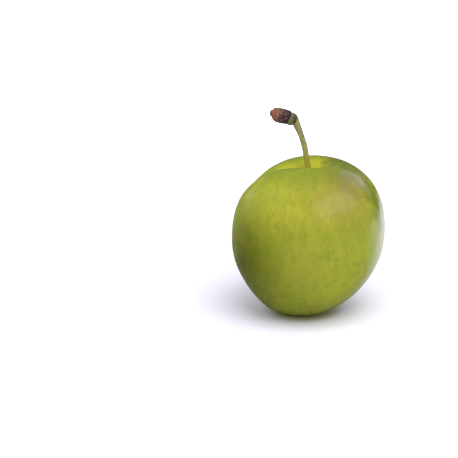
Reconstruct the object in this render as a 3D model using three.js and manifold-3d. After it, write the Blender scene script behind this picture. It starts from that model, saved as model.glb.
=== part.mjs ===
// A ripe greengage plum with its stalk, in millimetres, +Z up.
// It rests on a small flat spot, and the origin is at the bottom centre of its box.
// The seam runs down the left side (-X), and the stalk bends over towards it.
import * as THREE from 'three';
import { mergeVertices } from 'three/addons/utils/BufferGeometryUtils.js';
import Module from 'manifold-3d';

// The fruit, measured from the middle of its widest section
const fruitSize = {
  halfWidth: 20.5,     // along X
  halfDepth: 20.3,     // along Y
  above: 23.8,         // up to the crown that the stem hollow sinks into
  below: 20.05,        // down to the blossom end, before it is flattened
  fullTop: 2.23,       // 2 is a plain ellipse, more is squarer in the shoulders
  fullBottom: 1.92,
  topHeavy: 0.09,      // the shoulders are this much wider than the base
  twoCorners: 0.005,   // how far the widest section swells in two and in three soft corners
  threeCorners: 0.004,
  lean: 0.054,         // sideways drift per unit of height
  flatSpot: 0.85       // how much of the underside is flattened where it rests
};
const hollow = { depth: 5.5, alongSeam: 9.0, across: 3.85 };
const seam = {
  bearing: 165.3,      // degrees round from +X
  depth: 2.5,
  width: 4.1,
  deepestAt: 0.6,      // radians down from the stem
  reach: 0.29,
  shallow: 0.1,        // share of the depth left far from there
  start: 5.8           // it reaches its depth this far from the stem
};
const heel = {           // a fuller place low down on the left, which widens what it rests on
  height: 0.75,
  x: -8.9,
  y: -4.0,
  spread: 5.8,
  from: 5,             // below the widest section, where it starts and where it is full
  by: 13
};
const socket = { radius: 1.0, depth: 1.2 };

// The stalk and what it hung from: x, y and z from the point of the resting plane
// that lies below the middle of the fruit's widest section
const stalkRoute = [
  [0.55, 0.05, 38.6],
  [0.1, 0.15, 41.0],
  [-0.61, 0.25, 45.8],
  [-1.42, 0.25, 48.8],
  [-2.18, 0.15, 51.0],
  [-3.1, 0.0, 53.35]
];
const stalkSize = { radius: 0.79, head: 1.2, headLength: 0.22 };
const jointTilt = 34;        // how far the stalk's head face leans up from facing -X, in degrees
const collarSize = { bulge: 0.3, lip: 0.06 };
const spurBase = [-4.7, 0.0, 54.17];
const spurSize = {
  length: 5.5,         // knob and all
  rise: 14.5,          // degrees
  radius: 1.88,
  widestAt: 2.4,       // from its base
  baseNarrowing: 0.17,
  taperTo: 5.96,       // where the taper would close if the tip did not cut it short
  taper: 2.6,          // more keeps the barrel full for longer
  tipAt: 5.05,
  tipRounding: 0.32,
  knob: 0.74,
  knobLength: 0.75,
  leastRadius: 0.15
};
const scales = {
  rows: 6,
  around: 7,
  lift: 0.18,          // how far a scale's free edge stands out
  scallop: 0.45,
  firstBy: 0.08,       // they rise over this first share of the spur, and flatten again before its tip
  lastFrom: 0.8,
  lastBy: 0.92
};
const gap = 0.3;             // between pieces that touch

// How finely each piece is divided, along it and round it
const fineness = {
  fruit: { along: 44, round: 60, crowding: 1.25 },     // its rows lie closer together in the hollow
  socket: { round: 16 },
  stalk: { along: 26, round: 14 },
  collar: { along: 6, round: 18 },
  spur: { along: 36, round: 36 }
};

const degrees = Math.PI / 180;
const restHeight = fruitSize.below - fruitSize.flatSpot;   // of the widest section

function smooth(from, to, value) {
  const k = Math.min(Math.max((value - from) / (to - from), 0), 1);
  return k * k * (3 - 2 * k);
}

// Skin point: fromStem runs 0 at the stem to PI at the blossom end
function fruitPoint(fromStem, around) {
  const s = Math.sin(fromStem);
  const c = Math.cos(fromStem);
  const fullness = c > 0 ? fruitSize.fullTop : fruitSize.fullBottom;
  const size = (Math.abs(s) ** fullness + Math.abs(c) ** fullness) ** (1 / fullness);
  const height = c / size;
  const unevenness = fruitSize.twoCorners * Math.cos(2 * around + 0.9)
    + fruitSize.threeCorners * Math.cos(3 * around - 0.7);
  const width = s / size * (1 + fruitSize.topHeavy * height + unevenness * s);
  let x = fruitSize.halfWidth * width * Math.cos(around);
  let y = fruitSize.halfDepth * width * Math.sin(around);
  let z = (c > 0 ? fruitSize.above : fruitSize.below) * height;

  const bearing = seam.bearing * degrees;
  const along = x * Math.cos(bearing) + y * Math.sin(bearing);
  const across = y * Math.cos(bearing) - x * Math.sin(bearing);
  const reach = along > 0 ? hollow.alongSeam : hollow.across;
  const sink = hollow.depth * Math.exp(-((along / reach) ** 2 + (across / hollow.across) ** 2));
  const fade = seam.shallow
    + (1 - seam.shallow) * Math.exp(-(((fromStem - seam.deepestAt) / seam.reach) ** 2));
  const deepening = smooth(0, seam.start, along);
  const groove = seam.depth * fade * deepening * Math.exp(-((across / seam.width) ** 2));
  const inwards = 1 - groove / Math.hypot(x, y, z);
  x *= inwards;
  y *= inwards;
  z = z * inwards - sink * Math.max(height, 0);
  x += fruitSize.lean * z;
  const fromHeel = ((x - heel.x) ** 2 + (y - heel.y) ** 2) / heel.spread ** 2;
  const fuller = heel.height * Math.exp(-fromHeel) * smooth(heel.from, heel.by, -z);
  const outwards = 1 + fuller / Math.hypot(x, y, z);
  return new THREE.Vector3(x * outwards, y * outwards, z * outwards + restHeight);
}

// A closed body from rings of points, with one more point at each end
function closedBody(first, rings, last) {
  const sides = rings[0].length;
  const points = [first, ...rings.flat(), last];
  const faces = [];
  const at = (ring, side) => 1 + ring * sides + side % sides;
  for (let side = 0; side < sides; side += 1) {
    faces.push(0, at(0, side), at(0, side + 1));
    for (let ring = 0; ring < rings.length - 1; ring += 1) {
      faces.push(at(ring, side), at(ring + 1, side), at(ring + 1, side + 1));
      faces.push(at(ring, side), at(ring + 1, side + 1), at(ring, side + 1));
    }
    faces.push(points.length - 1, at(rings.length - 1, side + 1), at(rings.length - 1, side));
  }
  const geometry = new THREE.BufferGeometry();
  geometry.setAttribute('position', new THREE.Float32BufferAttribute(points.flatMap((p) => p.toArray()), 3));
  geometry.setIndex(faces);
  geometry.computeVertexNormals();
  return geometry;
}

// Round sections along a curve; radiusAt(part, angle) and facing(part) shape each one
function sweep(curve, fine, radiusAt, facing = (part) => curve.getTangentAt(part)) {
  const rings = [];
  for (let step = 0; step <= fine.along; step += 1) {
    const part = step / fine.along;
    const direction = facing(part).clone().normalize();
    const out = new THREE.Vector3(0, 1, 0).cross(direction).normalize();
    const forward = direction.clone().cross(out);
    const centre = curve.getPointAt(part);
    const ring = [];
    for (let side = 0; side < fine.round; side += 1) {
      const angle = -side / fine.round * 2 * Math.PI;
      const radius = radiusAt(part, angle);
      ring.push(centre.clone()
        .addScaledVector(out, radius * Math.cos(angle))
        .addScaledVector(forward, radius * Math.sin(angle)));
    }
    rings.push(ring);
  }
  return closedBody(curve.getPointAt(0), rings, curve.getPointAt(1));
}

const wasm = await Module();
wasm.setup();

function toSolid(geometry) {
  const bare = geometry.clone();
  bare.deleteAttribute('normal');
  bare.deleteAttribute('uv');
  const merged = mergeVertices(bare);
  return new wasm.Manifold(new wasm.Mesh({
    numProp: 3,
    vertProperties: new Float32Array(merged.attributes.position.array),
    triVerts: new Uint32Array(merged.index.array)
  }));
}

function toGeometry(solid) {
  const { vertProperties, triVerts } = solid.getMesh();
  const geometry = new THREE.BufferGeometry();
  geometry.setAttribute('position', new THREE.Float32BufferAttribute(vertProperties, 3));
  geometry.setIndex(new THREE.Uint32BufferAttribute(triVerts, 1));
  geometry.computeVertexNormals();
  return geometry;
}

function makeFruit() {
  const fine = fineness.fruit;
  const rings = [];
  for (let row = 1; row < fine.along; row += 1) {
    const fromStem = Math.PI * (row / fine.along) ** fine.crowding;
    const ring = [];
    for (let column = 0; column < fine.round; column += 1) {
      ring.push(fruitPoint(fromStem, column / fine.round * 2 * Math.PI));
    }
    rings.push(ring);
  }
  const floor = fruitPoint(0, 0);
  const body = closedBody(floor, rings, fruitPoint(Math.PI, 0));
  const plug = new THREE.CylinderGeometry(
    socket.radius, socket.radius, 2 * socket.depth, fineness.socket.round
  );
  plug.rotateX(Math.PI / 2);
  plug.translate(floor.x, floor.y, floor.z);
  const table = new THREE.BoxGeometry(2 * fruitSize.halfWidth, 2 * fruitSize.halfDepth, 2 * restHeight);
  table.translate(0, 0, -restHeight);
  return toGeometry(toSolid(body).subtract(toSolid(plug)).subtract(toSolid(table)));
}

function leftwards(tilt) {
  return new THREE.Vector3(-Math.cos(tilt * degrees), 0, Math.sin(tilt * degrees));
}

const spurDirection = leftwards(spurSize.rise);
const jointDirection = leftwards(jointTilt);

function makeStalk() {
  const floor = fruitPoint(0, 0);
  const foot = new THREE.Vector3(floor.x, floor.y, floor.z - socket.depth + gap);
  const stops = stalkRoute.map((place) => new THREE.Vector3(...place));
  const curve = new THREE.CatmullRomCurve3([foot, ...stops]);
  const headShare = (part) => smooth(1 - stalkSize.headLength, 1, part);
  const radiusAt = (part) => THREE.MathUtils.lerp(stalkSize.radius, stalkSize.head, headShare(part));
  const facing = (part) => curve.getTangentAt(part).lerp(jointDirection, headShare(part));
  return sweep(curve, fineness.stalk, radiusAt, facing);
}

function makeCollar() {
  const from = new THREE.Vector3(...stalkRoute.at(-1)).addScaledVector(jointDirection, gap);
  const to = new THREE.Vector3(...spurBase).addScaledVector(spurDirection, -gap);
  const middle = from.clone().add(to).multiplyScalar(0.5);
  const curve = new THREE.QuadraticBezierCurve3(from, middle, to);
  const radiusAt = (part) => {
    const cone = THREE.MathUtils.lerp(stalkSize.head + collarSize.lip, spurRadius(0), part);
    return cone + collarSize.bulge * Math.sin(part * Math.PI);
  };
  const facing = (part) => jointDirection.clone().lerp(spurDirection, part);
  return sweep(curve, fineness.collar, radiusAt, facing);
}

// Outline of the spur, by distance from its base: a tapering barrel with a small knob on its tip
function spurRadius(distance) {
  const off = distance - spurSize.widestAt;
  const narrowing = off < 0
    ? spurSize.baseNarrowing * (off / spurSize.widestAt) ** 2
    : (off / (spurSize.taperTo - spurSize.widestAt)) ** spurSize.taper;
  const intoTip = (distance - spurSize.tipAt + spurSize.tipRounding) / spurSize.tipRounding;
  const rim = Math.min(Math.max(intoTip, 0), 1);
  const body = spurSize.radius * (1 - narrowing) * Math.sqrt(1 - rim ** 2);
  const knobMiddle = spurSize.length - spurSize.knobLength;
  const knobOff = (distance - knobMiddle) / spurSize.knobLength;
  const knob = spurSize.knob * Math.sqrt(Math.max(1 - knobOff ** 4, 0));
  return Math.max(body, knob, spurSize.leastRadius);
}

// Overlapping scales in staggered rows, each thickest at its rounded free edge
function scaleLift(part, angle) {
  const turn = angle / (2 * Math.PI) * scales.around;
  let lift = 0;
  for (const shift of [0, 0.5]) {
    const across = turn + shift - Math.floor(turn + shift) - 0.5;
    const along = part * scales.rows / 2 + shift - scales.scallop * (1 - (2 * across) ** 2);
    const within = along - Math.floor(along);
    lift = Math.max(lift, within ** 2 * (1 - (2 * across) ** 4));
  }
  const ends = smooth(0, scales.firstBy, part) * (1 - smooth(scales.lastFrom, scales.lastBy, part));
  return scales.lift * lift * ends;
}

function makeSpur() {
  const from = new THREE.Vector3(...spurBase);
  const to = from.clone().addScaledVector(spurDirection, spurSize.length);
  const radiusAt = (part, angle) => spurRadius(part * spurSize.length) + scaleLift(part, angle);
  return sweep(new THREE.LineCurve3(from, to), fineness.spur, radiusAt);
}

function piece(name, geometry, color, roughness) {
  const mesh = new THREE.Mesh(geometry, new THREE.MeshStandardMaterial({ color, roughness, metalness: 0 }));
  mesh.name = name;
  return mesh;
}

const plum = new THREE.Group();
plum.add(
  piece('fruit', makeFruit(), '#a1a63c', 0.35),
  piece('stalk', makeStalk(), '#8f9040', 0.6),
  piece('collar', makeCollar(), '#6d6b45', 0.75),
  piece('spur', makeSpur(), '#6b4436', 0.85)
);

const box = new THREE.Box3().setFromObject(plum);
const centre = box.getCenter(new THREE.Vector3());
plum.position.set(-centre.x, -centre.y, -box.min.z);

export default plum;
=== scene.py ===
import math

import bmesh
import bpy
import numpy as np
from mathutils import Euler, Matrix, Vector, noise


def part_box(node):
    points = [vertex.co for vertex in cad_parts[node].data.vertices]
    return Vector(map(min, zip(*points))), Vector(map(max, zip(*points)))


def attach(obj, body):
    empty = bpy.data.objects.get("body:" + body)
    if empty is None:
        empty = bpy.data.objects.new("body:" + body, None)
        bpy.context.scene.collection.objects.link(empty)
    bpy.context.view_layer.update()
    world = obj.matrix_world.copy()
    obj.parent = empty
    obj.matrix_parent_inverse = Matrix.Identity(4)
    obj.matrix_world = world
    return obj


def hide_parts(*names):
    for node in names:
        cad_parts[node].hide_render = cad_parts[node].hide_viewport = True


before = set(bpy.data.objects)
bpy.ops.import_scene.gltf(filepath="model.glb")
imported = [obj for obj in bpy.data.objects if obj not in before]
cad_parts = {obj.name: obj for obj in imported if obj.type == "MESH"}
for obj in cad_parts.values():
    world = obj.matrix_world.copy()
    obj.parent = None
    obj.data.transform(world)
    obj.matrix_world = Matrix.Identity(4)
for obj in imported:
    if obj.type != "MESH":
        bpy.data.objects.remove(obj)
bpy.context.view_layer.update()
mm = 0.001          # every dictionary gives its places and sizes in millimetres, or says otherwise
print("frame loaded")


def smooth(low, high, value):
    k = np.clip((value - low) / (high - low), 0, 1)
    return k * k * (3 - 2 * k)


def roughGround(points, size, seed, octaves=3):
    # soft random heights in -1..1 at each point, with features about size across
    shift = Vector((seed * 7.3, seed * 3.1, seed * 5.7))
    return np.array([noise.fractal(Vector(p) / size + shift, 0.7, 2.0, octaves) for p in points])


def addObject(name, data):
    made = bpy.data.objects.new(name, data)
    bpy.context.scene.collection.objects.link(made)
    return made


def ringMesh(name, rings, start, end, marks):
    # closes rows of rings (rows x sides x 3, metres) with a point at each end
    # marks are values per point, which the materials read by name
    rows, sides = rings.shape[:2]
    points = np.vstack([[start], rings.reshape(-1, 3), [end]])
    last = len(points) - 1
    faces, spots = [], []
    for side in range(sides):
        following = (side + 1) % sides
        left, right = side / sides, (side + 1) / sides
        faces.append((0, 1 + side, 1 + following))
        spots += [((left + right) / 2, 0), (left, 1 / (rows + 1)), (right, 1 / (rows + 1))]
        for row in range(rows - 1):
            here, below = 1 + row * sides, 1 + (row + 1) * sides
            top, bottom = (row + 1) / (rows + 1), (row + 2) / (rows + 1)
            faces.append((here + side, below + side, below + following, here + following))
            spots += [(left, top), (left, bottom), (right, bottom), (right, top)]
        lowest = 1 + (rows - 1) * sides
        faces.append((last, lowest + following, lowest + side))
        lowestHeight = rows / (rows + 1)
        spots += [((left + right) / 2, 1), (right, lowestHeight), (left, lowestHeight)]
    mesh = bpy.data.meshes.new(name)
    mesh.from_pydata([tuple(p) for p in points], [], faces)
    mesh.uv_layers.new(name="OFBake")
    mesh.uv_layers["OFBake"].data.foreach_set("uv", np.array(spots, np.float32).ravel())
    mesh.polygons.foreach_set("use_smooth", np.ones(len(faces), bool))
    for label, values in marks.items():
        mark = mesh.attributes.new(label, "FLOAT", "POINT")
        mark.data.foreach_set("value", np.asarray(values, np.float32))
    mesh.update()
    return addObject(name, mesh)


def sweep(line, facing, radius, rows, sides):
    # rings across a line: line and facing answer for each part 0..1 of it, radius for angles too
    angles = -np.arange(sides) / sides * 2 * math.pi
    rings = np.zeros((rows, sides, 3))
    for row, part in enumerate(np.linspace(0, 1, rows)):
        direction = facing(part)
        out = np.cross((0, 1, 0), direction)
        out /= np.linalg.norm(out)
        forward = np.cross(direction, out)
        reach = radius(part, angles)
        across = np.outer(reach * np.cos(angles), out) + np.outer(reach * np.sin(angles), forward)
        rings[row] = line(part) + across
    return rings


def alongMark(rows, sides):
    # 0 at the first ring to 1 at the last, for materials that change along a piece
    return {"along": np.concatenate([[0], np.repeat(np.linspace(0, 1, rows), sides), [1]])}


def leftwards(tilt):
    # a direction towards -X, raised by tilt degrees
    return np.array((-math.cos(math.radians(tilt)), 0, math.sin(math.radians(tilt))))


def smoothRoute(stops, steps=40):
    # a smooth line through the stops, evened out by its length
    stops = np.array(stops, float)
    ends = np.vstack([2 * stops[0] - stops[1], stops, 2 * stops[-1] - stops[-2]])
    fine = []
    for i in range(1, len(ends) - 2):
        a, b, c, d = ends[i - 1:i + 3]
        t = np.linspace(0, 1, steps, endpoint=i == len(ends) - 3)[:, None]
        straight, curve = 2 * b + (c - a) * t, (2 * a - 5 * b + 4 * c - d) * t ** 2
        fine.append(0.5 * (straight + curve + (3 * b - a - 3 * c + d) * t ** 3))
    fine = np.vstack(fine)
    run = np.concatenate([[0], np.cumsum(np.linalg.norm(np.diff(fine, axis=0), axis=1))])
    run /= run[-1]

    def line(part):
        return np.array([np.interp(part, run, fine[:, k]) for k in range(3)])

    def heading(part, step=0.01):
        ahead = line(min(part + step, 1)) - line(max(part - step, 0))
        return ahead / np.linalg.norm(ahead)
    return line, heading


def newMaterial(name, **settings):
    # settings go straight to the shader's own sockets
    material = bpy.data.materials.new(name)
    material.use_nodes = True
    shader = material.node_tree.nodes["Principled BSDF"]
    for label, value in settings.items():
        shader.inputs[label.replace("_", " ")].default_value = value
    return material, material.node_tree, shader


def feed(tree, socket, value):
    if isinstance(value, bpy.types.NodeSocket):
        tree.links.new(value, socket)
    else:
        socket.default_value = value


def addNode(tree, kind, inputs=None, **settings):
    made = tree.nodes.new(kind)
    for label, value in settings.items():
        setattr(made, label, value)
    for label, value in (inputs or {}).items():
        feed(tree, made.inputs[label], value)
    return made


def place(tree):
    return addNode(tree, "ShaderNodeTexCoord").outputs["Object"]


def heightOf(tree, here):
    return addNode(tree, "ShaderNodeSeparateXYZ", {0: here}).outputs["Z"]


def mark(tree, label):
    return addNode(tree, "ShaderNodeAttribute", attribute_name=label).outputs["Fac"]


def calc(tree, operation, a, b=0.0):
    return addNode(tree, "ShaderNodeMath", {0: a, 1: b}, operation=operation).outputs[0]


def times(tree, *values):
    product = values[0]
    for value in values[1:]:
        product = calc(tree, "MULTIPLY", product, value)
    return product


def plus(tree, *values):
    total = values[0]
    for value in values[1:]:
        total = calc(tree, "ADD", total, value)
    return total


def stretch(tree, vector, scale, shift=(0, 0, 0)):
    inputs = {"Vector": vector, "Scale": scale, "Location": shift}
    return addNode(tree, "ShaderNodeMapping", inputs).outputs[0]


def clouds(tree, vector, size, detail=3.0, roughness=0.5, distortion=0.0):
    # noise with features about size mm across
    return addNode(tree, "ShaderNodeTexNoise", {
        "Vector": vector, "Scale": 1 / (size * mm), "Detail": detail, "Roughness": roughness,
        "Distortion": distortion}).outputs["Fac"]


def dots(tree, vector, apart):
    # distance from the nearest of many scattered points, about apart mm from each other
    inputs = {"Vector": vector, "Scale": 1 / (apart * mm)}
    return addNode(tree, "ShaderNodeTexVoronoi", inputs).outputs["Distance"]


def fade(tree, value, low, high, start=0.0, end=1.0):
    made = addNode(tree, "ShaderNodeMapRange", interpolation_type="SMOOTHSTEP")
    for socket, number in zip(made.inputs, (value, low, high, start, end)):
        feed(tree, socket, number)
    return made.outputs[0]


def fadeUp(tree, height, low, high, start=0.0, end=1.0):
    # the same by height, from low mm to high mm
    return fade(tree, height, low * mm, high * mm, start, end)


def patch(tree, middle, inner, outer, squash=(1, 1, 1), ragged=0.5):
    # 1 within inner of a point, fading to 0 at outer, all in mm; squash above 1 narrows that way
    shift = [-m * mm * s for m, s in zip(middle, squash)]
    spot = stretch(tree, place(tree), squash, shift)
    away = addNode(tree, "ShaderNodeVectorMath", {0: spot}, operation="LENGTH").outputs["Value"]
    wander = fade(tree, clouds(tree, place(tree), outer * 0.4, 3.0, 0.6), 0.3, 0.7, -0.5, 0.5)
    edge = plus(tree, away, times(tree, wander, ragged * outer * mm))
    return fade(tree, edge, inner * mm, outer * mm, 1.0, 0.0)


def blend(tree, share, below, above):
    made = addNode(tree, "ShaderNodeMix", {"Factor": share}, data_type="RGBA")
    for socket, colour in zip((made.inputs[6], made.inputs[7]), (below, above)):
        feed(tree, socket, colour if isinstance(colour, bpy.types.NodeSocket) else (*colour, 1))
    return made.outputs[2]


def bump(tree, shader, height, depth, strength):
    inputs = {"Height": height, "Distance": depth * mm, "Strength": strength}
    feed(tree, shader.inputs["Normal"], addNode(tree, "ShaderNodeBump", inputs).outputs[0])


def finishPiece(piece, material, node):
    piece.data.materials.append(material)
    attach(piece, "root")
    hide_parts(node)
    print(piece.name, "made:", len(piece.data.polygons), "faces")


fruit = {
    # half its width and depth at the widest section, and how far it goes above and below that
    "halfWidth": 20.5, "halfDepth": 20.3, "above": 23.8, "below": 20.05,
    "fullTop": 2.23, "fullBottom": 1.92,            # 2 is round, more is squarer
    "topHeavy": 0.09, "lean": 0.054,                # fuller above, and leaning to the right
    "uneven": (0.005, 0.004),                       # two and three soft corners round its middle
    "flatSpot": 0.85, "flatSoftness": 0.12,         # how much is flattened below, and its soft edge
    "hollowDepth": 5.5, "hollowAlong": 9.0, "hollowAcross": 3.85,
    "seamBearing": 165.3, "seamDepth": 2.5, "seamWidth": 4.1, "seamShallow": 0.1,
    "seamDeepest": 0.6, "seamReach": 0.29, "seamStart": 5.8,
    "creaseDepth": 0.22, "creaseWidth": 0.55, "lineWidth": 1.1,
    # a fuller place low down on the left, which grows in this far below the widest section
    "heelHeight": 0.75, "heelAt": (-8.9, -4.0), "heelSpread": 5.8, "heelFrom": 5, "heelBy": 13,
    "lumps": 0.07, "lumpSize": 9,
    "rows": 230, "columns": 288, "crowding": 1.15,  # its rows lie closer together in the hollow

    "green": (0.254, 0.320, 0.029), "yellow": (0.440, 0.422, 0.043), "deep": (0.155, 0.208, 0.024),
    "cool": (0.225, 0.298, 0.040), "fresh": (0.370, 0.425, 0.036), "golden": (0.450, 0.450, 0.036),
    "blush": (0.385, 0.295, 0.064), "ochre": (0.345, 0.318, 0.037), "russet": (0.200, 0.140, 0.026),
    # the greyish tone at the end of this line is partly bloom and partly a painted softbox
    # reflection
    "line": (0.250, 0.270, 0.030), "bloomAndReflection": (0.215, 0.178, 0.108),
    # strokes and blotches: width round the fruit and length from stem to tip
    "streak": (1.9, 7.0), "fibre": (0.6, 2.8), "mottle": (1.5, 2.3),
    "gatherSize": 5, "broadSize": 16, "blotchSize": 7,
    # how much each one yellows the green, away from the yellower belt and in it
    "yellowness": (0.05, 0.34), "mottleShare": (0.42, 0.50), "streakShare": (0.18, 0.28),
    "fibreShare": (0.17, 0.38), "broadShare": 0.24, "blotchShare": 0.40,
    "beltFrom": (22, 35), "beltTo": (37.5, 41),     # heights over which the belt comes and goes
    "crownFrom": 37.5, "crownBy": 41.5, "crownShare": 0.35,     # above it turns a deeper green
    "calmFrom": 35.5, "calmBy": 40.0, "calmShare": 0.25,        # above, its strokes grow faint
    # soft places of another tone: where and how big, its share and its colour
    "places": [
        ((8.5, 1.0, 41.6), 6.0, 0.68, "deep"), ((13.0, -3.5, 39.6), 6.0, 0.68, "deep"),
        ((16.4, -5.5, 36.0), 6.0, 0.68, "deep"), ((18.3, -6.5, 31.0), 6.0, 0.68, "deep"),
        ((10.5, -9.8, 38.7), 7.0, 0.32, "deep"), ((6.8, -9.0, 40.7), 4.5, 0.32, "deep"),
        ((-10.6, 7.4, 37.8), 4.5, 0.75, "cool"), ((-15.4, -8.0, 33.8), 12.0, 0.32, "cool"),
        ((13.2, -14.5, 29.5), 8.0, 0.42, "ochre"), ((13.9, -14.9, 21.5), 7.5, 0.55, "fresh"),
        ((8.5, -16.5, 11.0), 9.0, 0.45, "fresh"), ((-1.1, -20.4, 21.4), 8.5, 0.5, "yellow"),
        ((-5.5, -19.0, 16.0), 8.0, 0.35, "yellow"),
    ],
    "goldenShare": 0.85,                            # in the hollow
    "blushAt": (8.6, -13.8, 36.5), "blushSize": 10.2, "blushSquash": (0.68, 0.8, 1.15),
    "blushShare": (0.3, 0.62),                      # uneven, between these
    "bloomAndReflectionAt": [((11.5, -6.5, 39.5), 6.5, 0.8), ((10.3, -10.6, 38.0), 6.0, 0.42)],   # grey bloom with a painted softbox reflection on it
    "russetAt": (5.4, 2.8, 41.3), "russetSize": 2.8, "russetShare": (0.45, 0.6),    # a rubbed place
    "tipSize": 1.1, "tipShare": 0.8,                # the scar that the blossom left
    "lineShare": 0.3, "freckleApart": 2.2, "freckleShare": 0.28,
    "glow": 0.25, "glowDepth": (1.8, 1.4, 0.3),     # light that soaks in: red, green and blue
    "waxRoughness": 0.22, "waxIndex": 1.25,         # a thin bloom that shines most at the edges
    "roughness": (0.42, 0.55), "poreSize": 0.5, "poreDepth": 0.05,
}


def fruitSkin():
    f = fruit
    parts = np.arange(1, f["rows"] + 1) / (f["rows"] + 1)
    fromStem = np.concatenate([[0.0], math.pi * parts ** f["crowding"], [math.pi]])[:, None]
    around = np.arange(f["columns"]) / f["columns"] * 2 * math.pi
    s, c = np.sin(fromStem), np.cos(fromStem)
    full = np.where(c > 0, f["fullTop"], f["fullBottom"])
    size = (np.abs(s) ** full + np.abs(c) ** full) ** (1 / full)
    height = c / size
    uneven = f["uneven"][0] * np.cos(2 * around + 0.9) + f["uneven"][1] * np.cos(3 * around - 0.7)
    width = s / size * (1 + f["topHeavy"] * height + uneven * s)
    x = f["halfWidth"] * width * np.cos(around)
    y = f["halfDepth"] * width * np.sin(around)
    z = np.where(c > 0, f["above"], f["below"]) * height + 0 * x

    # the stem hollow and the seam's valley, with a crease along its bottom
    bearing = math.radians(f["seamBearing"])
    along = x * math.cos(bearing) + y * math.sin(bearing)
    across = y * math.cos(bearing) - x * math.sin(bearing)
    reach = np.where(along > 0, f["hollowAlong"], f["hollowAcross"])
    sink = f["hollowDepth"] * np.exp(-(along / reach) ** 2 - (across / f["hollowAcross"]) ** 2)
    near = np.exp(-((fromStem - f["seamDeepest"]) / f["seamReach"]) ** 2)
    deep = f["seamDepth"] * (f["seamShallow"] + (1 - f["seamShallow"]) * near)
    groove = deep * smooth(0, f["seamStart"], along) * np.exp(-(across / f["seamWidth"]) ** 2)
    crease = f["creaseDepth"] * smooth(2, 7, along) * np.exp(-(across / f["creaseWidth"]) ** 2)
    inwards = 1 - (groove + crease) / np.sqrt(x * x + y * y + z * z)
    x, y, z = x * inwards, y * inwards, z * inwards - sink * np.maximum(height, 0)
    skin = np.stack([x + f["lean"] * z, y, z], -1)

    outwards = skin / np.linalg.norm(skin, axis=-1, keepdims=True)
    fromHeel = ((skin[..., :2] - f["heelAt"]) ** 2).sum(-1)
    heel = f["heelHeight"] * np.exp(-fromHeel / f["heelSpread"] ** 2)
    skin += outwards * (heel * smooth(f["heelFrom"], f["heelBy"], -skin[..., 2]))[..., None]
    lumps = roughGround((skin * mm).reshape(-1, 3), f["lumpSize"] * mm, 1, 2).reshape(x.shape)
    skin += outwards * (f["lumps"] * lumps * smooth(0.1, 0.5, fromStem))[..., None]

    # pressed flat below, with a soft edge
    over = skin[..., 2] + f["below"] - f["flatSpot"]
    soft = f["flatSoftness"]
    rounded = np.where(over < -soft, 0, (over + soft) ** 2 / (4 * soft))
    skin[..., 2] = np.where(over > soft, over, rounded)
    seam = np.exp(-(across / f["lineWidth"]) ** 2) * smooth(1, 6, along)
    return skin * mm, {"seam": seam, "hollow": sink / f["hollowDepth"]}


def pointMarks(marks):
    return {label: np.concatenate([[v[0, 0]], v[1:-1].ravel(), [v[-1, 0]]])
            for label, v in marks.items()}


skin, skinMarks = fruitSkin()
lowest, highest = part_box("fruit")
points = skin.reshape(-1, 3)
# every piece moves from the fruit's own middle to the frame's, and keeps its height
boxShift = np.array((lowest + highest) / 2) - (points.max(0) + points.min(0)) / 2
boxShift[2] = 0
skin += boxShift
fruitPiece = ringMesh("plumFruit", skin[1:-1], skin[0, 0], skin[-1, 0], pointMarks(skinMarks))


def stripes(tree, here, size, detail):
    # noise that changes over size[0] mm round the fruit and over size[1] mm from stem to tip
    girth = fruit["halfWidth"] * mm
    middle = 19 * mm        # height that the angle from the stem is taken at
    leastOff = 1 * mm       # keeps the strokes from tearing at the stem and the tip
    x, y, z = addNode(tree, "ShaderNodeSeparateXYZ", {0: here}).outputs
    offAxis = calc(tree, "SQRT", plus(tree, times(tree, x, x), times(tree, y, y)))
    offAxis = calc(tree, "MAXIMUM", offAxis, leastOff)
    fromStem = calc(tree, "ARCTAN2", offAxis, calc(tree, "SUBTRACT", z, middle))
    spot = addNode(tree, "ShaderNodeCombineXYZ", {
        0: times(tree, calc(tree, "DIVIDE", x, offAxis), girth),
        1: times(tree, calc(tree, "DIVIDE", y, offAxis), girth),
        2: times(tree, fromStem, girth * size[0] / size[1])}).outputs[0]
    return clouds(tree, spot, size[0], detail, 0.6, 0.5)


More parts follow.
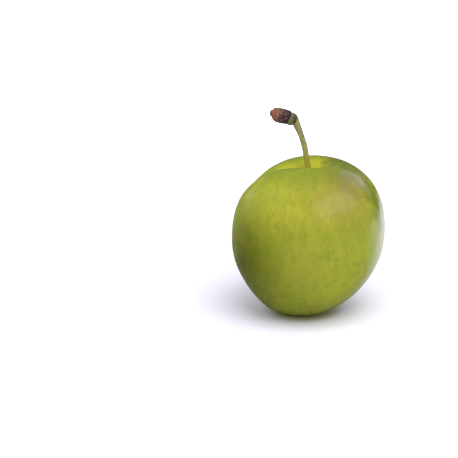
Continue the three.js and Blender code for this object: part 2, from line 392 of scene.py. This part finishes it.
def skinMaterial():
    f = fruit
    material, tree, shader = newMaterial(
        "plumSkin", Specular_IOR_Level=0.0, Subsurface_Weight=f["glow"], Subsurface_Scale=mm,
        Subsurface_Radius=f["glowDepth"], Coat_Weight=1.0, Coat_Roughness=f["waxRoughness"],
        Coat_IOR=f["waxIndex"])
    here = place(tree)
    height = heightOf(tree, here)
    streak = fade(tree, stripes(tree, here, f["streak"], 2.0), 0.36, 0.66, -0.5, 0.5)
    fibre = fade(tree, stripes(tree, here, f["fibre"], 2.0), 0.4, 0.75, -0.4, 0.6)
    mottle = fade(tree, stripes(tree, here, f["mottle"], 4.0), 0.34, 0.70)
    broad = fade(tree, clouds(tree, here, f["broadSize"], 2.0, 0.5, 0.3), 0.35, 0.65)
    calm = fadeUp(tree, height, f["calmFrom"], f["calmBy"], 1.0, f["calmShare"])
    gathered = fade(tree, clouds(tree, here, f["gatherSize"], 2.0), 0.38, 0.62, 0.3, 1.0)
    belt = times(tree, fadeUp(tree, height, *f["beltFrom"]),
                 fadeUp(tree, height, *f["beltTo"], 1.0, 0.0))

    def byBelt(name):
        return fade(tree, belt, 0.0, 1.0, *f[name])
    tone = plus(tree, times(tree, broad, f["broadShare"]),
                times(tree, mottle, byBelt("mottleShare")), byBelt("yellowness"),
                times(tree, streak, calm, byBelt("streakShare")),
                times(tree, fibre, gathered, calm, byBelt("fibreShare")))
    colour = blend(tree, tone, f["green"], f["yellow"])
    blotch = fade(tree, clouds(tree, here, f["blotchSize"], 3.0, 0.6, 0.8), 0.55, 0.8)
    colour = blend(tree, times(tree, blotch, f["blotchShare"]), colour, f["deep"])
    crown = fadeUp(tree, height, f["crownFrom"], f["crownBy"], 0.0, f["crownShare"])
    colour = blend(tree, crown, colour, f["deep"])
    for spot, size, share, tint in f["places"]:
        colour = blend(tree, times(tree, patch(tree, spot, 1.0, size), share), colour, f[tint])
    inHollow = fade(tree, mark(tree, "hollow"), 0.06, 0.35, 0.0, f["goldenShare"])
    colour = blend(tree, inHollow, colour, f["golden"])

    # the blushed shoulder, and on it grey bloom with a painted softbox reflection
    uneven = fade(tree, clouds(tree, here, 4, 3.0, 0.6), 0.25, 0.65, *f["blushShare"])
    blushed = patch(tree, f["blushAt"], 1.0, f["blushSize"], f["blushSquash"])
    colour = blend(tree, times(tree, blushed, uneven), colour, f["blush"])
    # painted reflection: greyish patches where a softbox shows in the shine, with the grey bloom
    for spot, size, share in f["bloomAndReflectionAt"]:
        bloomAndReflectionMask = times(tree, patch(tree, spot, 1.0, size), uneven, share)
        colour = blend(tree, bloomAndReflectionMask, colour, f["bloomAndReflection"])

    # a rubbed place on the hollow's far lip, the seam, the blossom's scar and freckles
    rubbed = patch(tree, f["russetAt"], 0.4, f["russetSize"], (0.8, 1.2, 1))
    colour = blend(tree, times(tree, rubbed, fade(tree, mottle, 0.0, 0.6, *f["russetShare"])),
                   colour, f["russet"])
    colour = blend(tree, times(tree, mark(tree, "seam"), f["lineShare"]), colour, f["line"])
    tip = patch(tree, skin[-1, 0] / mm, 0.2, f["tipSize"])
    colour = blend(tree, times(tree, tip, f["tipShare"]), colour, f["russet"])
    freckle = fade(tree, dots(tree, here, f["freckleApart"]), 0.10, 0.45, 1.0, 0.0)
    rare = fade(tree, clouds(tree, here, 4, 1.0), 0.42, 0.62)
    colour = blend(tree, times(tree, freckle, rare, f["freckleShare"]), colour, f["deep"])
    feed(tree, shader.inputs["Base Color"], colour)
    dull = fade(tree, clouds(tree, here, 6), 0.3, 0.7, *f["roughness"])
    feed(tree, shader.inputs["Roughness"], dull)
    pores = times(tree, clouds(tree, here, f["poreSize"], 3.0, 0.6), 0.5)
    bump(tree, shader, plus(tree, pores, clouds(tree, here, 3, 2.0)), f["poreDepth"], 0.5)
    return material


finishPiece(fruitPiece, skinMaterial(), "fruit")

stalk = {
    "route": [(0.55, 0.05, 38.6), (0.1, 0.15, 41.0), (-0.61, 0.25, 45.8), (-1.42, 0.25, 48.8),
              (-2.18, 0.15, 51.0), (-3.1, 0.0, 53.35)],     # from the hollow up to the collar
    "rootDepth": 0.9,                               # how far its foot goes into the fruit
    "radius": 0.79, "footFlare": 0.08, "swell": 0.03,
    "head": 1.2, "headLength": 0.22, "jointTilt": 34,       # radius, part of its length, degrees
    "ridges": 7, "ridgeHeight": 0.022, "grain": 0.012, "grainSize": 0.5,
    "rows": 180, "sides": 72,

    "green": (0.252, 0.256, 0.072), "light": (0.415, 0.392, 0.160), "low": (0.315, 0.315, 0.032),
    "beige": (0.330, 0.285, 0.145), "purple": (0.095, 0.055, 0.050), "joint": (0.045, 0.030, 0.018),
    # where along its length each tone comes in, 0..1, and its share
    "lowAlong": (0.58, 0.34), "lowShare": 0.9, "beigeAlong": (0.80, 0.92), "beigeShare": 0.5,
    "jointAlong": (0.975, 0.998), "jointShare": (0.1, 0.8),
    "purpleAt": (-1.2, -0.2, 50.9), "purpleSize": 1.7, "purpleShare": 0.85,     # outside the bend
    "fibreSize": 0.28, "fibreSquash": 0.16, "roughness": (0.5, 0.66),
    "grooveSize": 0.22, "grooveSquash": 0.2, "grooveDepth": 0.04,
    "glow": 0.12, "glowDepth": 0.5, "shine": 0.18,
}
jointDirection = leftwards(stalk["jointTilt"])


def stalkRings():
    k = stalk
    hollowFloor = (skin[0, 0] - boxShift) / mm
    root = hollowFloor - (0, 0, k["rootDepth"])
    line, heading = smoothRoute([root] + [np.array(p) for p in k["route"]])
    headStart = 1 - k["headLength"]

    def facing(part):
        share = smooth(headStart, 1, part)
        direction = heading(part) * (1 - share) + jointDirection * share
        return direction / np.linalg.norm(direction)

    def radius(part, angles):
        flare = (k["head"] - k["radius"]) * smooth(headStart, 1, part)
        foot = k["footFlare"] * (1 - smooth(0.03, 0.12, part))
        strength = k["ridgeHeight"] * (0.6 + 0.4 * math.sin(9 * part))
        wave = strength * np.cos(k["ridges"] * angles + 2.5 * part)
        swell = k["swell"] * noise.noise(Vector((part * 9, 0.3, 0.7)))
        return k["radius"] + flare + foot + wave + swell
    rings = sweep(line, facing, radius, k["rows"], k["sides"])
    grain = roughGround(rings.reshape(-1, 3), k["grainSize"], 3, 2).reshape(rings.shape[:2])
    rings += grain[..., None] * k["grain"]
    return rings * mm + boxShift, line(0) * mm + boxShift, line(1) * mm + boxShift


stalkPiece = ringMesh("plumStalk", *stalkRings(), alongMark(stalk["rows"], stalk["sides"]))


def stalkMaterial():
    k = stalk
    material, tree, shader = newMaterial(
        "stalkGreen", Subsurface_Weight=k["glow"], Subsurface_Scale=k["glowDepth"] * mm,
        Specular_IOR_Level=k["shine"])
    here, along = place(tree), mark(tree, "along")
    fibre = clouds(tree, stretch(tree, here, (1, 1, k["fibreSquash"])), k["fibreSize"], 3.0, 0.6)
    colour = blend(tree, fade(tree, fibre, 0.35, 0.68), k["green"], k["light"])
    low = fade(tree, along, *k["lowAlong"], 0.0, k["lowShare"])
    colour = blend(tree, low, colour, k["low"])
    beige = fade(tree, along, *k["beigeAlong"], 0.0, k["beigeShare"])
    colour = blend(tree, beige, colour, k["beige"])
    streak = times(tree, patch(tree, k["purpleAt"], 0.3, k["purpleSize"], (1.7, 0.6, 0.62)),
                   fade(tree, clouds(tree, here, 0.5), 0.3, 0.55), k["purpleShare"])
    colour = blend(tree, streak, colour, k["purple"])
    ragged = fade(tree, clouds(tree, here, 1), 0.4, 0.6, *k["jointShare"])
    joint = times(tree, fade(tree, along, *k["jointAlong"]), ragged)
    colour = blend(tree, joint, colour, k["joint"])
    feed(tree, shader.inputs["Base Color"], colour)
    feed(tree, shader.inputs["Roughness"], fade(tree, fibre, 0.3, 0.7, *k["roughness"]))
    lengthways = stretch(tree, here, (1, 1, k["grooveSquash"]))
    bump(tree, shader, clouds(tree, lengthways, k["grooveSize"], 4.0, 0.6), k["grooveDepth"], 0.7)
    return material


finishPiece(stalkPiece, stalkMaterial(), "stalk")

spur = {
    "base": (-4.62, 0.0, 54.22), "rise": 14.5,      # where it leaves the collar, and degrees up
    "length": 5.5, "radius": 1.88, "widestAt": 2.4, "baseNarrowing": 0.17,
    "taperTo": 5.96, "taper": 2.6,                  # where its taper would close, and how bluntly
    "tipAt": 5.05, "tipRounding": 0.32, "knob": 0.84, "knobLength": 0.78,
    "tipTilt": 0.14,                                # how far its end leans upright
    "scaleRows": 6, "scalesAround": 7, "lift": 0.18, "scallop": 0.45,
    "crest": 0.42, "crestAt": -25, "crestWidth": 26,    # a raised scale at its base, in degrees
    "warts": 0.05, "wartSize": 0.34, "lumps": 0.05, "lumpSize": 0.8,
    "rows": 200, "sides": 200,

    "dark": (0.022, 0.008, 0.010), "plum": (0.066, 0.023, 0.026), "tan": (0.320, 0.168, 0.074),
    "cream": (0.400, 0.255, 0.235), "orange": (0.330, 0.110, 0.062), "black": (0.010, 0.008, 0.010),
    "knobColour": (0.060, 0.034, 0.030), "knobTop": (0.135, 0.098, 0.086),
    # where along its length each tone comes in, 0..1, and its share
    "tanAlong": (0.30, 0.74), "brownShare": (0.8, 0.7),
    "fleckAlong": (0.05, 0.2), "fleckShare": 0.8, "blackAlong": (0.12, 0.02), "blackShare": 0.85,
    # the ring just before the knob is painted shade
    "shadeRingAlong": (0.85, 0.91), "shadeRingShare": 0.6, "knobAlong": (0.91, 0.925),
    "orangeAt": (-8.9, -1.2, 56.0), "orangeSize": 1.5,  # a fresh scale beside the knob
    "orangeAlong": (0.69, 0.75), "orangeShare": 0.9, "orangeEdge": (0.66, 0.72),
    "patchSize": 0.8, "brownSize": 0.5, "fleckApart": 0.38, "poreSize": 0.18, "poreDepth": 0.08,
    "roughness": 0.8, "glow": 0.03, "glowDepth": 0.4, "shine": 0.2,
}
spurDirection = leftwards(spur["rise"])
spurBase = np.array(spur["base"])


def spurRadius(distance):
    s = spur
    off = distance - s["widestAt"]
    towardsBase = s["baseNarrowing"] * (off / s["widestAt"]) ** 2
    towardsTip = (abs(off) / (s["taperTo"] - s["widestAt"])) ** s["taper"]
    body = s["radius"] * (1 - (towardsBase if off < 0 else towardsTip))
    rim = min(max((distance - s["tipAt"] + s["tipRounding"]) / s["tipRounding"], 0), 1)
    knobOff = (distance - (s["length"] - s["knobLength"])) / s["knobLength"]
    knob = s["knob"] * math.sqrt(max(1 - knobOff ** 4, 0))
    return max(body * math.sqrt(1 - rim ** 2), knob, 0.02)


def scaleLift(part, angles):
    # overlapping bud scales: each row rises to its scalloped edge, the next is half a scale over
    s = spur
    turn = angles / (2 * math.pi) * s["scalesAround"]
    lift = np.zeros_like(angles)
    for shift in (0, 0.5):
        across = (turn + shift) % 1 - 0.5
        along = part * s["scaleRows"] / 2 + shift - s["scallop"] * (1 - (2 * across) ** 2)
        lift = np.maximum(lift, (along % 1) ** 2 * (1 - (2 * across) ** 4))
    return s["lift"] * lift * smooth(0, 0.08, part) * (1 - smooth(0.8, 0.92, part))


def spurRings():
    s = spur
    parts = np.linspace(0, 1, s["rows"])

    def line(part):
        return spurBase + spurDirection * s["length"] * part

    def radius(part, angles):
        off = (np.degrees(angles) - s["crestAt"] + 180) % 360 - 180
        crest = s["crest"] * np.exp(-(off / s["crestWidth"]) ** 2)
        crest = crest * smooth(0, 0.03, part) * (1 - smooth(0.07, 0.2, part))
        return spurRadius(part * s["length"]) + scaleLift(part, angles) + crest
    rings = sweep(line, lambda part: spurDirection, radius, s["rows"], s["sides"])
    middles = np.array([line(part) for part in parts])[:, None, :]
    outwards = rings - middles
    outwards /= np.maximum(np.linalg.norm(outwards, axis=-1, keepdims=True), 1e-6)
    flat = rings.reshape(-1, 3)
    away = np.array([noise.voronoi(Vector(p) / s["wartSize"])[0][0] for p in flat])
    rise = s["warts"] * (1 - np.clip(away / 0.55, 0, 1) ** 2)
    rise = (rise + s["lumps"] * roughGround(flat, s["lumpSize"], 8)).reshape(rings.shape[:2])
    ends = smooth(0.0, 0.05, parts) * (1 - smooth(0.93, 1.0, parts))
    rings += outwards * (rise * ends[:, None])[..., None]
    above = (rings - middles) @ np.cross((0, 1, 0), spurDirection)
    lean = s["tipTilt"] * above * smooth(0.6, 0.93, parts)[:, None]
    rings += lean[..., None] * spurDirection
    return rings * mm + boxShift, line(0) * mm + boxShift, line(1) * mm + boxShift


def spurMaterial():
    s = spur
    material, tree, shader = newMaterial(
        "budScales", Roughness=s["roughness"], Subsurface_Weight=s["glow"],
        Subsurface_Scale=s["glowDepth"] * mm, Specular_IOR_Level=s["shine"])
    here, along = place(tree), mark(tree, "along")
    patches = fade(tree, clouds(tree, here, s["patchSize"], 3.0, 0.6), 0.35, 0.65)
    colour = blend(tree, patches, s["dark"], s["plum"])
    colour = blend(tree, fade(tree, along, *s["tanAlong"]), colour, s["tan"])
    brown = times(tree, fade(tree, clouds(tree, here, s["brownSize"], 4.0, 0.7), 0.45, 0.60),
                  fade(tree, along, 0.3, 0.9, *s["brownShare"]))
    colour = blend(tree, brown, colour, s["plum"])
    fleck = times(tree, fade(tree, dots(tree, here, s["fleckApart"]), 0.20, 0.50, 1.0, 0.0),
                  fade(tree, clouds(tree, here, 0.9, 2.0), 0.32, 0.52, 0.4, 1.0),
                  fade(tree, along, *s["fleckAlong"], 0.0, s["fleckShare"]))
    colour = blend(tree, fleck, colour, s["cream"])
    near = patch(tree, s["orangeAt"], 0.8, s["orangeSize"], (1.0, 0.8, 0.9), 0.3)
    edge = times(tree, near, fade(tree, along, *s["orangeEdge"]))
    colour = blend(tree, edge, colour, s["plum"])
    fresh = times(tree, near, fade(tree, along, *s["orangeAlong"]), s["orangeShare"])
    colour = blend(tree, fresh, colour, s["orange"])
    black = fade(tree, along, *s["blackAlong"], 0.0, s["blackShare"])
    colour = blend(tree, black, colour, s["black"])
    # painted shade: a darker plum ring between the body and the knob
    rim = fade(tree, along, *s["shadeRingAlong"], 0.0, s["shadeRingShare"])
    colour = blend(tree, rim, colour, s["plum"])
    worn = fade(tree, clouds(tree, here, 0.6), 0.45, 0.6)
    knob = blend(tree, worn, s["knobColour"], s["knobTop"])
    colour = blend(tree, fade(tree, along, *s["knobAlong"]), colour, knob)
    feed(tree, shader.inputs["Base Color"], colour)
    bump(tree, shader, clouds(tree, here, s["poreSize"], 4.0, 0.65), s["poreDepth"], 0.9)
    return material


collar = {
    "startGap": 0.05, "endGap": 0.05, "lip": 0.06, "bulge": 0.3, "folds": 9, "foldHeight": 0.025,
    "grooves": [(0.10, 0.1, 0.05), (0.05, 0.9, 0.04)],  # depth, then place and width along it, 0..1
    # its lower front edge laps over the spur: how far, how thick, and where in degrees
    "lobeLength": 0.4, "lobeLift": 0.22, "lobeTurn": 215,
    "lumps": 0.04, "lumpSize": 0.45, "rows": 60, "sides": 110,

    "top": (0.245, 0.235, 0.160), "grey": (0.136, 0.120, 0.060), "olive": (0.190, 0.166, 0.064),
    "green": (0.180, 0.206, 0.062), "pale": (0.330, 0.310, 0.200), "dark": (0.020, 0.011, 0.006),
    "oliveUp": (54.6, 53.6), "topUp": (54.9, 55.6),     # heights over which each tone comes in
    "lobeAt": (-4.6, -0.9, 53.2), "lobeSize": 1.5,      # a fresh green fold
    "fleckSize": 0.6, "fleckShare": 0.5, "grimeSize": 0.9, "grimeShare": 0.3,
    "scars": [((-3.15, -0.9, 54.6), 0.62), ((-3.55, -1.45, 53.7), 1.0)], "scarSize": 1.05,
    "edgeAlong": (0.9, 1.0), "edgeShare": 0.8, "poreSize": 0.25, "poreDepth": 0.08,
    "roughness": 0.75, "glow": 0.08, "glowDepth": 0.4, "shine": 0.25,
}


def collarRings():
    k = collar
    start = np.array(stalk["route"][-1]) - jointDirection * k["startGap"]
    end = spurBase + spurDirection * k["endGap"]
    lower, upper = stalk["head"] + k["lip"], spurRadius(0)

    def line(part):
        return start + (end - start) * part

    def facing(part):
        direction = jointDirection * (1 - part) + spurDirection * part
        return direction / np.linalg.norm(direction)

    def lobe(part, angles):
        lowerFront = np.maximum(np.cos(angles - math.radians(k["lobeTurn"])), 0)
        return smooth(0.45, 1.0, part) * lowerFront ** 1.5

    def radius(part, angles):
        middle = math.sin(part * math.pi)
        groove = sum(depth * math.exp(-((part - at) / width) ** 2)
                     for depth, at, width in k["grooves"])
        folds = k["foldHeight"] * np.cos(k["folds"] * angles + 3 * part) * middle
        shape = lower + (upper - lower) * part + k["bulge"] * middle - groove
        return shape + folds + k["lobeLift"] * lobe(part, angles)
    rings = sweep(line, facing, radius, k["rows"], k["sides"])
    angles = -np.arange(k["sides"]) / k["sides"] * 2 * math.pi
    laps = np.array([lobe(part, angles) for part in np.linspace(0, 1, k["rows"])])
    rings += laps[..., None] * k["lobeLength"] * spurDirection
    lumps = roughGround(rings.reshape(-1, 3), k["lumpSize"], 5).reshape(rings.shape[:2])
    rings += lumps[..., None] * k["lumps"]
    return rings * mm + boxShift, start * mm + boxShift, end * mm + boxShift


def collarMaterial():
    k = collar
    material, tree, shader = newMaterial(
        "collarSkin", Roughness=k["roughness"], Subsurface_Weight=k["glow"],
        Subsurface_Scale=k["glowDepth"] * mm, Specular_IOR_Level=k["shine"])
    here, along = place(tree), mark(tree, "along")
    height = heightOf(tree, here)
    colour = blend(tree, fadeUp(tree, height, *k["oliveUp"]), k["grey"], k["olive"])
    colour = blend(tree, fadeUp(tree, height, *k["topUp"]), colour, k["top"])
    colour = blend(tree, patch(tree, k["lobeAt"], 0.6, k["lobeSize"]), colour, k["green"])
    fleck = clouds(tree, stretch(tree, here, (1, 1, 1.6)), k["fleckSize"], 4.0, 0.65)
    fleck = times(tree, fade(tree, fleck, 0.5, 0.62), k["fleckShare"])
    colour = blend(tree, fleck, colour, k["pale"])
    grime = fade(tree, clouds(tree, here, k["grimeSize"], 3.0, 0.6), 0.46, 0.6)
    dark = times(tree, grime, k["grimeShare"])
    for spot, share in k["scars"]:
        scar = times(tree, patch(tree, spot, 0.25, k["scarSize"], (1.3, 1, 0.8)),
                     fade(tree, grime, 0.0, 0.6, 0.88, 1.0), share)
        dark = calc(tree, "MAXIMUM", dark, scar)
    edge = times(tree, fade(tree, along, *k["edgeAlong"], 0.0, k["edgeShare"]),
                 fade(tree, grime, 0.0, 0.6, 0.6, 1.0))
    colour = blend(tree, calc(tree, "MAXIMUM", dark, edge), colour, k["dark"])
    feed(tree, shader.inputs["Base Color"], colour)
    bump(tree, shader, clouds(tree, here, k["poreSize"], 4.0, 0.65), k["poreDepth"], 0.8)
    return material


collarPiece = ringMesh("plumCollar", *collarRings(), alongMark(collar["rows"], collar["sides"]))
finishPiece(collarPiece, collarMaterial(), "collar")
spurPiece = ringMesh("plumSpur", *spurRings(), alongMark(spur["rows"], spur["sides"]))
finishPiece(spurPiece, spurMaterial(), "spur")

studio = {      # lengths in metres
    "floorSize": 2.6, "floorDrop": 0.00002, "floorColour": (0.93, 0.93, 0.94),
    "floorBounce": (0.60, 0.60, 0.58),              # as it lights the fruit from below
    "floorShine": (0.15, 0.15, 0.15),               # as it shows in the fruit's gloss
    "floorGlow": (0.78, 0.77, 1, 1), "whiteFrom": 0.06, "whiteBy": 0.22,    # far off it turns white
    "skySeen": 1.1, "skyGloss": 0.10,               # the camera sees white, the gloss a dark room
    # the overlit floor back and right, in the gloss only: the ways it grows in with where it starts
    # and is full, and how far out it ends
    "glare": 2.8, "glareEnd": (0.15, 0.36),
    "glareEdges": [((0, 1, 0), (-0.014, 0.028)), ((0.94, -0.34, 0), (-0.005, 0.045))],
    "paintedContactShade": (0.62, 0.62, 0.30), "paintedShadeFrom": 0.012, "paintedShadeBy": 0.006,  # a painted contact shadow, by distance from where it rests
    # four lamps round and one above, for the fruit and for the floor
    "tentWidth": 1.8, "tentHeight": 1.2, "tentFruit": 0.56, "tentFloor": 0.83,
    "tentColour": (0.94, 0.96, 1.02), "floorFill": (0.955, 0.94, 1.11),
    "lampColour": (1.0, 0.985, 0.96), "floorLight": (0.995, 0.955, 1.02), "aimHeight": 0.02,
    # name: (what it lights, degrees round to the right from the camera side, degrees up, distance,
    #        width, height, radiance)
    "lamps": {
        "leftBox": ("fruit", 272, 36, 0.9, 0.45, 0.45, 7.2),
        "rightBox": ("fruit", 24, 36, 0.9, 0.45, 0.45, 6.8),
        "floorBox": ("floor", 28, 62, 0.9, 0.70, 0.70, 3.75),
        "windowPanel": ("gloss", 138, 31, 0.9, 0.42, 0.42, 2.2),
        "veilPanel": ("gloss", 54, 42, 0.9, 1.00, 0.55, 3.9),
        "leftPanel": ("gloss", 233, 14, 0.9, 0.45, 0.26, 0.9),
    },
    # a dull ball that only the fruit and its lamps know of: it shades the fruit's lower left
    "shadeAt": (-0.0465, -0.0285, 0.0150), "shadeRadius": 0.0268, "shadeTall": 1.35,
}


def vectorMath(tree, operation, inputs):
    return addNode(tree, "ShaderNodeVectorMath", inputs, operation=operation).outputs["Value"]


def makeFloor():
    material, tree, shader = newMaterial(
        "paperFloor", Roughness=0.9, Specular_IOR_Level=0.1, Emission_Color=studio["floorGlow"])
    here = place(tree)
    away = vectorMath(tree, "LENGTH", {0: here})
    ray = addNode(tree, "ShaderNodeLightPath").outputs
    colour = blend(tree, ray["Is Diffuse Ray"], studio["floorColour"], studio["floorBounce"])
    colour = blend(tree, ray["Is Glossy Ray"], colour, studio["floorShine"])

    # painted shadow: right beside where the fruit rests, the floor as the camera sees it is painted
    # darker and yellow-green, for its contact shadow and the light through the fruit
    rest = vectorMath(tree, "DISTANCE", {0: here, 1: tuple(skin[-1, 0])})
    tint = times(tree, fade(tree, rest, studio["paintedShadeBy"], studio["paintedShadeFrom"], 1.0, 0.0),
                 ray["Is Camera Ray"])
    feed(tree, shader.inputs["Base Color"], blend(tree, tint, colour, studio["paintedContactShade"]))
    white = times(tree, fade(tree, away, studio["whiteFrom"], studio["whiteBy"]),
                  ray["Is Camera Ray"])
    edges = [fade(tree, vectorMath(tree, "DOT_PRODUCT", {0: here, 1: direction}), *reach)
             for direction, reach in studio["glareEdges"]]
    glare = times(tree, *edges, fade(tree, away, *studio["glareEnd"], 1.0, 0.0),
                  ray["Is Glossy Ray"], studio["glare"])
    feed(tree, shader.inputs["Emission Strength"], plus(tree, white, glare))

    half = studio["floorSize"] / 2
    corners = [(-half, -half, 0), (half, -half, 0), (half, half, 0), (-half, half, 0)]
    mesh = bpy.data.meshes.new("floor")
    mesh.from_pydata(corners, [], [(0, 1, 2, 3)])
    mesh.materials.append(material)
    floor = addObject("floor", mesh)
    floor.location.z = -studio["floorDrop"]
    return floor


def makeShade():
    material = newMaterial(
        "shadeCloth", Base_Color=(0, 0, 0, 1), Roughness=1.0, Specular_IOR_Level=0.0)[0]
    ball = bmesh.new()
    bmesh.ops.create_uvsphere(ball, u_segments=48, v_segments=24, radius=studio["shadeRadius"])
    mesh = bpy.data.meshes.new("shade")
    ball.to_mesh(mesh)
    mesh.materials.append(material)
    shade = addObject("shade", mesh)
    shade.location = studio["shadeAt"]
    shade.scale.z = studio["shadeTall"]
    shade.visible_camera = False
    return shade


def group(name, things):
    made = bpy.data.collections.new(name)
    for thing in things:
        made.objects.link(thing)
    return made


def addLamp(name, spot, aim, width, height, radiance, colour, lit, blockers, gloss=False):
    data = bpy.data.lights.new(name, "AREA")
    data.shape, data.size, data.size_y = "RECTANGLE", width, height
    data.color = colour
    data.energy = radiance * math.pi * width * height
    lamp = addObject(name, data)
    lamp.location = spot
    lamp.rotation_euler = Vector(aim).to_track_quat("-Z", "Y").to_euler()
    lamp.visible_camera = False
    lamp.visible_glossy = gloss
    lamp.visible_diffuse = not gloss
    lamp.light_linking.receiver_collection = lit
    lamp.light_linking.blocker_collection = blockers


def makeLamps(pieces, floor, shade):
    # the shade stands in the way of the lamps that light the fruit, and of no other
    fruitLamps = group("litFruit", pieces), group("fruitBlockers", pieces + [shade])
    floorLamps = group("litFloor", [floor]), group("floorBlockers", pieces)
    centre = Vector((0, 0, studio["aimHeight"]))
    for name, (use, turn, lift, distance, width, height, radiance) in studio["lamps"].items():
        turn, lift = math.radians(turn), math.radians(lift)
        level = math.cos(lift)
        out = Vector((math.sin(turn) * level, -math.cos(turn) * level, math.sin(lift)))
        pair = floorLamps if use == "floor" else fruitLamps
        colour = studio["floorLight"] if use == "floor" else studio["lampColour"]
        addLamp(name, centre + out * distance, -out, width, height, radiance, colour, *pair,
                use == "gloss")

    wide, tall = studio["tentWidth"], studio["tentHeight"]
    tent = [((x * wide / 2, y * wide / 2, tall / 2), (-x, -y, 0), tall)
            for x, y in ((1, 0), (-1, 0), (0, 1), (0, -1))]
    tent.append(((0, 0, tall), (0, 0, -1), wide))
    for number, (spot, aim, height) in enumerate(tent):
        for glow, tint, pair in (("tentFruit", "tentColour", fruitLamps),
                                 ("tentFloor", "floorFill", floorLamps)):
            addLamp(glow + str(number), spot, aim, wide, height, studio[glow], studio[tint], *pair)


def makeWorld():
    world = bpy.data.worlds.new("surround")
    bpy.context.scene.world = world
    world.use_nodes = True
    tree = world.node_tree
    ray = addNode(tree, "ShaderNodeLightPath").outputs
    glossy = times(tree, ray["Is Glossy Ray"], studio["skyGloss"])
    seen = times(tree, ray["Is Camera Ray"], studio["skySeen"])
    background = tree.nodes["Background"].inputs
    background["Color"].default_value = (1, 1, 1, 1)
    feed(tree, background["Strength"], plus(tree, glossy, seen))


viewpoint = {
    "rise": 18,                 # degrees above level
    "distance": 0.480,          # m, from the middle of the fruit's widest section
    "frameWidth": 0.12476,      # m that the picture spans at that distance
    "picture": 458,             # px
    "middle": (307.2, 242.9),   # px, where that middle sits in the picture
    "sensor": 36,
    "nearest": 0.01,            # m, what is closer isn't drawn
}


def makeCamera():
    v = viewpoint
    rise = math.radians(v["rise"])
    middle = Vector((boxShift[0], boxShift[1], (fruit["below"] - fruit["flatSpot"]) * mm))
    pixel = v["frameWidth"] / v["picture"] / v["distance"]
    yaw, pitch = [math.atan((at - v["picture"] / 2) * pixel) for at in v["middle"]]
    data = bpy.data.cameras.new("camera")
    data.sensor_width = v["sensor"]
    data.lens = v["sensor"] * v["distance"] / v["frameWidth"]
    data.clip_start = v["nearest"]
    camera = addObject("camera", data)
    camera.location = middle + v["distance"] * Vector((0, -math.cos(rise), math.sin(rise)))
    level = Euler((math.pi / 2 - rise, 0, 0)).to_matrix()
    turned = level @ Matrix.Rotation(yaw, 3, "Y") @ Matrix.Rotation(pitch, 3, "X")
    camera.rotation_euler = turned.to_euler()
    bpy.context.scene.camera = camera


makeLamps([fruitPiece, stalkPiece, collarPiece, spurPiece], makeFloor(), makeShade())
makeWorld()
makeCamera()
bpy.context.scene.view_settings.view_transform = "Standard"
print("studio ready")

bpy.context.view_layer.update()
